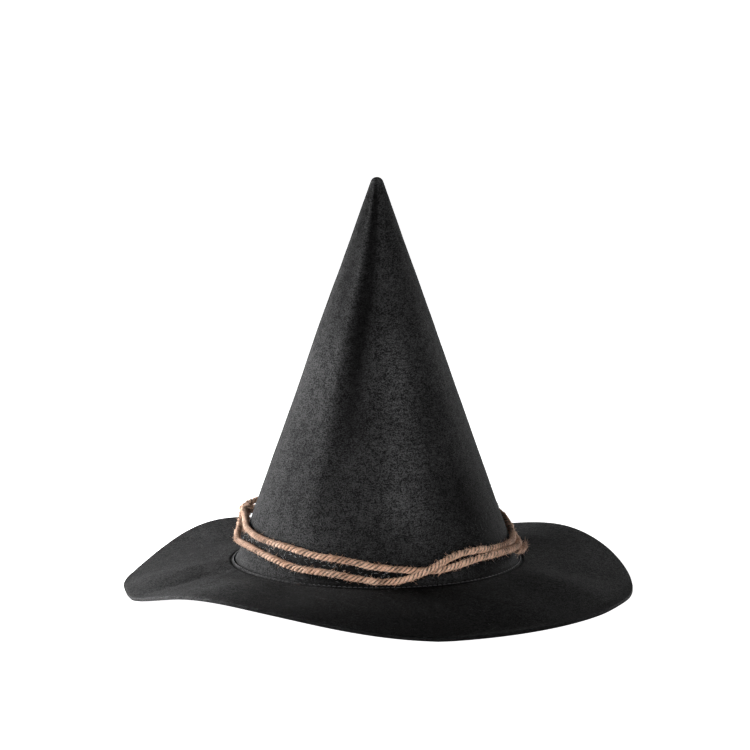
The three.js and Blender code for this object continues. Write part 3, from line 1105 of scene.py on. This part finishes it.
class HAT_OT_brim(bpy.types.Operator):
    """Make the felt brim, with its lobes, its soft folds and its raw cut edge"""

    bl_idname = "hat.build_brim"
    bl_label = "Build Brim"

    def execute(self, context):
        s = sizes()
        ring = turned_sheet(
            BRIM_ROWS, BRIM_STEPS, lambda angle, share: brim_point(angle, brim_rows(share))
        )
        face_up(ring, lambda point: Vector((0, 0, 1)))
        mesh = thickened("felt_brim", ring, s.felt_thickness, 0.35 * MM)
        for vert in mesh.vertices:
            vert.co.z = max(vert.co.z, 0.0)
        inner, land, edge = brim_radii()

        def wear(point):
            radius = math.hypot(point.x, point.y)
            left = hump(angle_of(point), 215, 40)
            cut_edge = ease(radius, edge - 3.6 * MM, edge - 2.2 * MM)
            return left * (0.2 * cut_edge + 0.55 * peak((radius - land) / MM, BEAD_OUT, 0.45))

        def nap_and_painted_light(point):
            # Painted light on the seam's bead, and painted shade under the crown's foot and in the
            # groove that the stitches press beside it.
            angle = angle_of(point)
            radius = math.hypot(point.x, point.y)
            out = (radius - land) / MM
            value = 0.6 * peak(out, BEAD_OUT, 0.5) - 1.6 * ease(-out, 2.0, 2.6)
            value -= 1.3 * peak(out, GROOVE_OUT, 0.8)
            # Painted shade on the front and the back left of the brim, and painted light on its
            # front left lobe and its right back.
            value += -1.5 * hump(angle, 284, 44) - 0.9 * hump(angle, 168, 22) * ease(out, 8, 25)
            value += 1.4 * hump(angle, 221, 12) * ease(out, 10, 30) + 1.5 * hump(angle, 20, 20)
            # Painted shade marks a short sharp crease that leaves the seam on the left.
            crease = hump(angle, 202 + 0.25 * out, 1.2 + 0.1 * out)
            value -= 1.3 * crease * ease(30 - out, 0, 22)
            # Painted shade on the face of the cut edge, below the brim's top.
            below = brim_point(angle, 1).z - point.z
            rim = ease(radius, edge - 7 * MM, edge - 5 * MM)
            value -= 1.2 * rim * ease(below, 0.5 * MM, MM)
            return value + 0.35 * noise.noise(point * 22)

        paint(mesh, "wear", wear)
        paint(mesh, "rippled", lambda point: 0.1)
        paint(mesh, "nap_and_painted_light", nap_and_painted_light)
        brim = add_piece("felt_brim", mesh, "hat", "felt", "brim")
        return {"FINISHED"}


class HAT_OT_sweatband(bpy.types.Operator):
    """Make the ribbon sweatband and its row of stitches"""

    bl_idname = "hat.build_sweatband"
    bl_label = "Build Sweatband"

    def execute(self, context):
        s = sizes()
        low, high = -2 * MM, 28 * MM
        first, last = 97.0, 443.0  # it is open at the back

        def form(along, up):
            angle, height = first + (last - first) * along, low + (high - low) * up
            ripple = 0.12 * MM * noise.noise(Vector((along * 40, up * 2, 3))) * up
            radius = inner_radius(height) - s.sewn_gap - s.ribbon_thickness + ripple
            return polar(radius, angle, height)

        span = ((last - first) * DEGREE * inner_radius(0.013), high - low)
        mesh = ribbon_mesh("ribbon_sweatband", 320, 14, form, span, s.ribbon_thickness)
        band = add_piece("ribbon_sweatband", mesh, "hat", "ribbon", "sweatband")

        height = 1.3 * MM
        radius = inner_radius(height) - 2 * s.sewn_gap - s.ribbon_thickness - 0.25 * MM
        start = (first + 1) * DEGREE
        length = (last - first - 2) * DEGREE * radius
        row = stitches(
            length, lambda t: polar(radius, (start + t / radius) / DEGREE, height),
            inward, 0.35 * MM, s.stitch_length,
        )
        sew("sweatband_stitches", row, s.thread_thickness, "sweatband_thread")
        return {"FINISHED"}


class HAT_OT_size_tab(bpy.types.Operator):
    """Make the size tab, its hooks and the loop tape that they grip"""

    bl_idname = "hat.build_size_tab"
    bl_label = "Build Size Tab"

    def execute(self, context):
        s = sizes()
        chance = random.Random(61)
        # The layers lie one inside another: sweatband, loop tape, hook tape, tab.
        gap, tape, backing = s.sewn_gap, 0.7 * MM, 0.3 * MM
        loop_inset = gap + s.ribbon_thickness + gap
        hook_inset = loop_inset + tape + gap
        tab_inset = hook_inset + tape + gap
        low, high = 6 * MM, 22 * MM
        middle = (low + high) / 2

        def strip(name, columns, rows, inset, first, last, bottom, top, measured):
            """A tape's backing, with its flat size, whose length is measured at a height."""
            def form(along, up):
                height = bottom + (top - bottom) * up
                return polar(inner_radius(height) - inset, first + (last - first) * along, height)

            span = ((last - first) * DEGREE * inner_radius(measured), top - bottom)
            return ribbon_mesh(name, columns, rows, form, span, backing), span

        # Loop tape, sewn to the sweatband's left end.
        first, last = 44.0, 82.0
        mesh, span = strip(
            "loop_tape", 60, 16, loop_inset + backing, first, last, low, high, low
        )
        piece = add_piece("loop_tape", mesh, "hat", "loop_tape", "loop_patch")
        loops = []
        for _ in range(LOOPS):
            angle = chance.uniform(first + 0.9, last - 0.9)
            height = chance.uniform(low + 0.9 * MM, high - 0.9 * MM)
            heading = chance.uniform(0, math.tau)
            wide = chance.uniform(0.35, 0.75) * MM
            tall = chance.uniform(0.22, 0.4) * MM
            arc = []
            for k in range(5):
                t = k / 4
                reach = (t - 0.5) * wide
                up = height + math.sin(heading) * reach
                around = angle + math.cos(heading) * reach / inner_radius(up) / DEGREE
                off = loop_inset + backing * 0.8 + tall * math.sin(math.pi * t)
                arc.append(polar(inner_radius(up) - off, around, up))
            loops.append(arc)
        add_piece("tape_loops", strands_mesh("tape_loops", loops, 0.09 * MM), "hat", "loop_tape")

        # The tab: free end rounded, other end turned back to the sweatband and sewn down.
        end, root, tail = 60.0, 98.5, 101.5
        per_degree = DEGREE * inner_radius(middle)
        corner = 3.2 * MM

        def tab_form(along, up):
            angle = end + (tail - end) * along
            out = (angle - end) * per_degree
            half = (high - low) / 2
            if out < corner:
                half -= corner - math.sqrt(max(0, corner**2 - (corner - out) ** 2))
            height = middle + (up - 0.5) * 2 * half
            inset = tab_inset + s.ribbon_thickness
            inset -= (tab_inset - loop_inset) * ease(angle, 93.5, 99.0)
            inset += 0.12 * MM * noise.noise(Vector((along * 9, up * 2, 7)))
            return polar(inner_radius(height) - inset, angle, height)

        span = ((tail - end) * per_degree, high - low)
        mesh = ribbon_mesh("ribbon_tab", 72, 16, tab_form, span, s.ribbon_thickness)
        tab = add_piece("ribbon_tab", mesh, None, "ribbon", "size_tab")
        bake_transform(tab)

        # Hook tape under the tab's free end.
        first, last = 61.0, 79.0
        mesh, span = strip(
            "hook_tape", 36, 12, hook_inset + tape, first, last, low + MM, high - MM, middle
        )
        piece = add_piece("hook_tape", mesh, "size_tab", "hook_tape", "hook_patch")
        hooks = []
        for i in range(HOOK_COLUMNS):
            for j in range(HOOK_ROWS):
                angle = first + 0.5 + (last - first - 1) * (i + 0.5 * (j % 2)) / HOOK_COLUMNS
                height = low + 1.7 * MM + (high - low - 3.4 * MM) * j / (HOOK_ROWS - 1)
                lean_over = 0.5 * (1 if i % 2 else -1)
                foot = hook_inset + tape - backing
                hook = []
                for up, over in HOOK_BEND:
                    hook.append(polar(
                        inner_radius(height) - foot + up * 0.62 * MM,
                        angle + over * lean_over * MM / inner_radius(height) / DEGREE, height,
                    ))
                hooks.append(hook)
        mesh = strands_mesh("tape_hooks", hooks, 0.16 * MM)
        add_piece("tape_hooks", mesh, "size_tab", "hook_tape")

        # Stitches that hold the tab's root and the loop tape to the sweatband.
        tape_face = loop_inset + backing
        rows = []
        for angle, inset in (
            (100.4, loop_inset + s.ribbon_thickness), (44.9, tape_face), (81.1, tape_face)
        ):
            rows += stitches(
                high - low - 3 * MM,
                lambda t, a=angle, i=inset: polar(inner_radius(low + t) - i, a, low + 1.5 * MM + t),
                inward, 0.3 * MM, 2.4 * MM,
            )
        for height in (low + 0.8 * MM, high - 0.8 * MM):
            radius = inner_radius(height) - tape_face
            rows += stitches(
                36 * DEGREE * radius,
                lambda t, r=radius, h=height: polar(r, 45 + t / r / DEGREE, h),
                inward, 0.3 * MM, 2.4 * MM,
            )
        sew("tape_stitches", rows, 0.4 * MM)
        return {"FINISHED"}


class HAT_OT_label(bpy.types.Operator):
    """Make the blank label and the stitches along its top"""

    bl_idname = "hat.build_label"
    bl_label = "Build Label"

    def execute(self, context):
        s = sizes()
        wide, tall, thick = 20 * MM, 22 * MM, 0.5 * MM
        angle, top = 140, 26 * MM
        face = inner_radius(top) - s.sewn_gap * 2 - s.ribbon_thickness
        radius = math.sqrt(face**2 - (wide / 2) ** 2) - thick
        turn = Matrix.Rotation(angle * DEGREE, 4, "Z")

        def form(along, up):
            across = (along - 0.5) * wide
            down = (1 - up) * tall
            curl = 0.5 * MM * (1 - math.cos(2 * (along - 0.5))) * ease(down, 0, 0.018)
            curl += 0.35 * MM * ease(down, 0.012, 0.022) * math.sin(along * 5)
            hem = 0.3 * MM * ease(-down, -3.4 * MM, -3.0 * MM)
            return turn @ Vector((radius - thick - curl - hem, across, FOOT_Z + top - down))

        mesh = ribbon_mesh("blank_label", 40, 44, form, (wide, tall), thick)
        label = add_piece("blank_label", mesh, None, "label", "care_label")
        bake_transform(label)

        def along_top(t):
            return turn @ Vector((radius - thick - 0.35 * MM, t - wide / 2 + MM, FOOT_Z + top - MM))

        row = stitches(wide - 2 * MM, along_top, inward, 0.35 * MM, 2.2 * MM)
        sew("label_stitches", row, 0.4 * MM)
        return {"FINISHED"}


class HAT_OT_seams(bpy.types.Operator):
    """Sew the brim's seam and the crown's back seam with its open allowances"""

    bl_idname = "hat.build_seams"
    bl_label = "Build Seams"

    def execute(self, context):
        s = sizes()
        centre = s.sewn_gap + s.thread_thickness / 2
        radius = crown_radius(s.sewn_gap) + centre

        def above(point):
            return outward(point) * 0.5 + Vector((0, 0, 0.85))

        ring = stitches(
            math.tau * radius, lambda t: polar(radius, t / radius / DEGREE, centre),
            above, 0.4 * MM, s.stitch_length,
        )
        sew("brim_seam_stitches", ring, s.thread_thickness, "brim_seam_thread")

        bottom, top = 6 * MM, 240 * MM
        back, slant = 90, math.cos(lean())

        def up_inside(t):
            height = bottom + t * slant
            return polar(inner_radius(height) - centre / slant, back, height)

        row = stitches((top - bottom) / slant, up_inside, inward, 0.35 * MM, s.stitch_length)
        sew("back_seam_stitches", row, s.thread_thickness, "back_seam_thread")

        foot, wide, tall = 30 * MM, 6.5 * MM, 208 * MM
        for name, side in (("left_seam_allowance", 1), ("right_seam_allowance", -1)):
            def form(along, up, side=side):
                height = foot + tall * up
                across = 0.9 * MM + wide * along
                wave = noise.noise(Vector((height * 60, along, side * 5)))
                across += 0.5 * MM * wave * along
                inset = 0.25 * MM + (0.35 + 0.25 * wave) * MM * along
                inset += 0.7 * MM * (1 - ease(along, 0, 0.35))
                radius = inner_radius(height) - inset - 1.0 * MM
                return polar(radius, back + side * across / radius / DEGREE, height)

            mesh = ribbon_mesh(name, 8, 120, form, (wide, tall), MM)
            paint(mesh, "wear", lambda point: 0.25)
            paint(mesh, "rippled", lambda point: 0.2)
            add_piece(name, mesh, "hat", "felt")
        return {"FINISHED"}


class HAT_OT_twine(bpy.types.Operator):
    """Wind both turns of twine round the crown, tie them and fray their ends"""

    bl_idname = "hat.build_twine"
    bl_label = "Build Twine"

    def execute(self, context):
        s = sizes()
        chance = random.Random(2024)
        diameter, step = s.twine_diameter, s.twine_lay / 15
        frays, tails, turns = [], [], []
        mesh, path = self.knot(diameter, step)
        knot = add_piece("twine_knot_tied", mesh, "hatband", "twine", "twine_knot")
        paths = [path]
        for name, route, node in (
            ("twine_tail_right", RIGHT_TAIL, "twine_right_tail"),
            ("twine_tail_left", LEFT_TAIL, "twine_left_tail"),
        ):
            path, length = smooth_path(route_points(route), step)

            def loosened(at, length=length):
                return 1 - 0.3 * ease(at, length - 5 * MM, length)

            mesh = twine_mesh(name, path, length, diameter * 0.94, len(name), loosened)
            tails.append(add_piece(name, mesh, "hatband", "twine", node))
            frays += frayed_end(path, diameter, chance, 70)
            paths.append(path)

        for name, route, node in (
            ("twine_turn_upper", UPPER_TURN, "twine_upper_turn"),
            ("twine_turn_lower", LOWER_TURN, "twine_lower_turn"),
        ):
            path, length = smooth_path(route_points(route), step)
            mesh = twine_mesh(name, path, length, diameter, len(node))
            turns.append((add_piece(name, mesh, "hatband", "twine", node), path, length))
            paths.append(path)

        fuzz = []
        for name, strands, thickness, proud in (
            ("twine_fibres", loose_fibres(paths, s.twine_fibres, chance, diameter), 0.2 * MM, 1.0),
            ("twine_frayed_ends", frays, 0.17 * MM, 0.9),
        ):
            mesh = strands_mesh(name, strands, thickness)
            paint(mesh, "proud", lambda point, value=proud: value)
            # Painted light and shade by angle, as on the twine.
            paint(mesh, "painted_light_by_angle", painted_light_by_angle)
            fuzz.append(add_piece(name, mesh, "hatband", "twine"))

        with_turns = ([knot, fuzz[0], tails[0]], [tails[1], fuzz[1]])
        for (turn, path, length), others in zip(turns, with_turns):
            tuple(path[0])
        return {"FINISHED"}

    def knot(self, diameter, step):
        """One twine tied round the other: a closed knot that shows its eye to the front."""
        height = KNOT_ROW * row_pitch()
        out = 1.09 * diameter + 2.4 * MM
        centre = polar(crown_radius(height) + out, KNOT_ANGLE, height)
        away = outward(centre)
        along = Vector((-away.y, away.x, 0))
        face = (away * 0.72 + along * 0.7).normalized()
        width = Vector((0, 0, 1)).cross(face)
        # A trefoil curve is the simplest real knot.
        points = []
        for k in range(48):
            t = math.tau * k / 48
            across = (math.sin(t) + 2 * math.sin(2 * t)) * 1.62 * MM
            up = (math.cos(t) - 2 * math.cos(2 * t)) * 1.55 * MM
            deep = -math.sin(3 * t) * 1.9 * MM
            points.append(centre + width * across + Vector((0, 0, up)) + face * deep)
        path, length = smooth_path(points + points[:2], step * 0.8)
        return twine_mesh("twine_knot_tied", path, length, diameter * 0.8, 1.0), path


class HAT_OT_felt_fibres(bpy.types.Operator):
    """Raise the loose fibres of the felt, most of them round the twine"""

    bl_idname = "hat.build_felt_fibres"
    bl_label = "Build Felt Fibres"

    def execute(self, context):
        chance = random.Random(77)
        made = []
        for _ in range(sizes().felt_fibres):
            angle = chance.uniform(0, 360)
            kind = chance.random()
            near_foot, form, up = kind < 0.45, crown_point, None
            if near_foot:
                share = chance.uniform(0.01, 0.14)
            elif kind < 0.72:
                share = CAP_SHARE * (1 - math.sqrt(chance.random()))
            else:
                share = chance.uniform(0.08, 0.998)
                form, up = brim_point, Vector((0, 0, 1))
            at = form(angle, share)
            east = (form(angle + 0.5, share) - at).normalized()
            north = (form(angle, share + 0.004) - at).normalized()
            normal = east.cross(north).normalized()
            if normal.dot(up or outward(at)) < 0:
                normal = -normal
            heading = chance.uniform(0, math.tau)
            along = east * math.cos(heading) + north * math.sin(heading)
            side = normal.cross(along) * chance.uniform(-0.5, 0.5)
            reach = chance.uniform(0.8, 3.2) * MM
            thick = 1.5 if near_foot else 0.8
            rise = chance.uniform(0.12, 0.7) * MM
            strand = []
            for k in range(4):
                t = k / 3
                place = at + along * reach * t + side * reach * t * t
                place += normal * (rise * math.sin(math.pi * min(1, t * 1.15) * 0.75) - 0.05 * MM)
                strand.append((place, thick * (1 - 0.5 * t)))
            made.append(strand)

        def near_twine(point):
            # Fibres that the twine has rubbed up are dry and pale, but not at the back.
            return between_turns(angle_of(point), point.z - FOOT_Z) if point.y < 0.05 else 0.0

        mesh = strands_mesh("felt_fibres", made, 0.09 * MM)
        paint(mesh, "nap_and_painted_light", near_twine)
        add_piece("felt_fibres", mesh, "hat", "felt", finish=lint_finish())
        return {"FINISHED"}


class HAT_PT_panel(bpy.types.Panel):
    """Lists the hat's builders with its sizes and colours"""

    bl_idname = "HAT_PT_panel"
    bl_label = "Witch Hat"
    bl_space_type = "VIEW_3D"
    bl_region_type = "UI"
    bl_category = "Witch Hat"

    def draw(self, context):
        column = self.layout.column()
        for operator in BUILDERS:
            column.operator(operator.bl_idname)
        for group in (context.scene.hat_sizes, context.scene.hat_colours):
            box = self.layout.box()
            for name in group.__annotations__:
                box.prop(group, name)


BUILDERS = (
    HAT_OT_stage, HAT_OT_crown, HAT_OT_brim, HAT_OT_sweatband, HAT_OT_size_tab, HAT_OT_label,
    HAT_OT_seams, HAT_OT_twine, HAT_OT_felt_fibres,
)
CLASSES = (HatSizes, HatColours, *BUILDERS, HAT_PT_panel)


def register():
    for cls in CLASSES:
        bpy.utils.register_class(cls)
    bpy.types.Scene.hat_sizes = PointerProperty(type=HatSizes)
    bpy.types.Scene.hat_colours = PointerProperty(type=HatColours)


def unregister():
    del bpy.types.Scene.hat_sizes
    del bpy.types.Scene.hat_colours
    for cls in reversed(CLASSES):
        bpy.utils.unregister_class(cls)


def main():
    register()
    bpy.ops.hat.build_stage()
    bpy.ops.hat.build_crown()
    bpy.ops.hat.build_brim()
    bpy.ops.hat.build_sweatband()
    bpy.ops.hat.build_size_tab()
    bpy.ops.hat.build_label()
    bpy.ops.hat.build_seams()
    bpy.ops.hat.build_twine()
    bpy.ops.hat.build_felt_fibres()
    bpy.context.view_layer.update()


if __name__ == "__main__":
    main()
